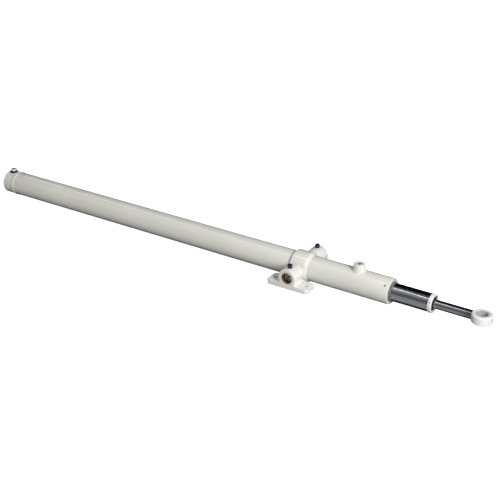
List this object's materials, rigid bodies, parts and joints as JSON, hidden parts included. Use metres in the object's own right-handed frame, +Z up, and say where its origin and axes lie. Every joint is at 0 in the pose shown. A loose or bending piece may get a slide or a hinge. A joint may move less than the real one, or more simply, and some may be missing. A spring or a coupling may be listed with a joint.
{
  "type": "linear actuator",
  "caption": "Telescopic hydraulic cylinder hung on trunnion pins in foot-mounted bearing blocks, with a chromed sleeve and rod that slide out to an upright rod eye.",
  "frame": {"origin": "where the cylinder's axis crosses the axis of the trunnion pins, in the middle of the trunnion ring", "axes": "+X along the cylinder from the closed rear head towards the rod eye, +Y along the trunnion pins towards the far bearing block, +Z up, away from the feet"},
  "size_m": [2.1785, 0.24, 0.128],
  "materials": {
    "paint": "semi-gloss warm off-white paint",
    "paint_bright": "semi-gloss white paint",
    "chrome": "hard chrome, ground and polished",
    "steel": "machined steel",
    "zinc": "bright zinc plate",
    "black_steel": "blackened steel",
    "rubber": "black sealing rubber, satin",
    "dusty_rubber": "dark rubber, grey with dust",
    "bearing_tape": "filled bearing tape, matte brown",
    "bronze": "greased bearing bronze",
    "cap_plastic": "soft dark blue plastic"
  },
  "bodies": {
    "barrel": {"barrel_tube": "paint", "rear_head": "paint", "rear_head_weld": "paint", "rear_port_seal": "rubber", "rear_port_plug": "zinc", "front_port_boss": "paint_bright", "front_port_plug": "paint_bright", "trunnion_ring": "paint_bright", "ring_weld_front": "paint_bright", "ring_weld_rear": "paint_bright", "near_pin": "steel", "far_pin": "steel", "gland_head": "paint_bright", "gland_oring": "rubber", "gland_guide_ring": "bearing_tape", "gland_seal": "rubber", "gland_wiper": "dusty_rubber", "gland_lock_screw": "black_steel"},
    "near_bearing_block": {"near_block": "paint_bright", "near_bush": "bronze", "near_nipple": "zinc"},
    "far_bearing_block": {"far_block": "paint_bright", "far_bush": "bronze", "far_nipple": "zinc"},
    "near_grease_cap": {"near_cap": "cap_plastic"},
    "far_grease_cap": {"far_cap": "cap_plastic"},
    "sleeve_rings": {"sleeve_piston_seal": "rubber", "sleeve_piston_guide": "bearing_tape"},
    "sleeve": {"sleeve_tube": "chrome", "sleeve_piston": "steel", "sleeve_head": "paint_bright", "head_oring": "rubber", "head_guide_ring": "bearing_tape", "head_seal": "rubber", "head_wiper": "rubber"},
    "rod_rings": {"rod_piston_seal": "rubber", "rod_piston_guide": "bearing_tape"},
    "rod": {"rod": "chrome", "rod_piston": "steel", "rod_nut": "zinc", "rod_eye": "paint_bright", "rod_eye_bush": "zinc"}
  },
  "joints": [
    {"name": "near_block_swing", "type": "hinge", "parent": "barrel", "child": "near_bearing_block", "pos_m": [0, -0.0885, 0], "axis": [0, 1, 0], "continuous": true},
    {"name": "far_block_swing", "type": "hinge", "parent": "barrel", "child": "far_bearing_block", "pos_m": [0, 0.0885, 0], "axis": [0, 1, 0], "continuous": true},
    {"name": "near_cap_pull", "type": "slide", "parent": "near_bearing_block", "child": "near_grease_cap", "axis": [0, 0, 1], "range_m": [0, 0.03]},
    {"name": "far_cap_pull", "type": "slide", "parent": "far_bearing_block", "child": "far_grease_cap", "axis": [0, 0, 1], "range_m": [0, 0.03]},
    {"name": "sleeve_stroke", "type": "slide", "parent": "barrel", "child": "sleeve_rings", "axis": [1, 0, 0], "range_m": [-0.124, 1.45]},
    {"name": "sleeve_turn", "type": "hinge", "parent": "sleeve_rings", "child": "sleeve", "pos_m": [0, 0, 0], "axis": [1, 0, 0], "continuous": true},
    {"name": "rod_stroke", "type": "slide", "parent": "sleeve", "child": "rod_rings", "axis": [1, 0, 0], "range_m": [-0.122, 1.45]},
    {"name": "rod_turn", "type": "hinge", "parent": "rod_rings", "child": "rod", "pos_m": [0.677, 0, 0], "axis": [1, 0, 0], "continuous": true}
  ]
}
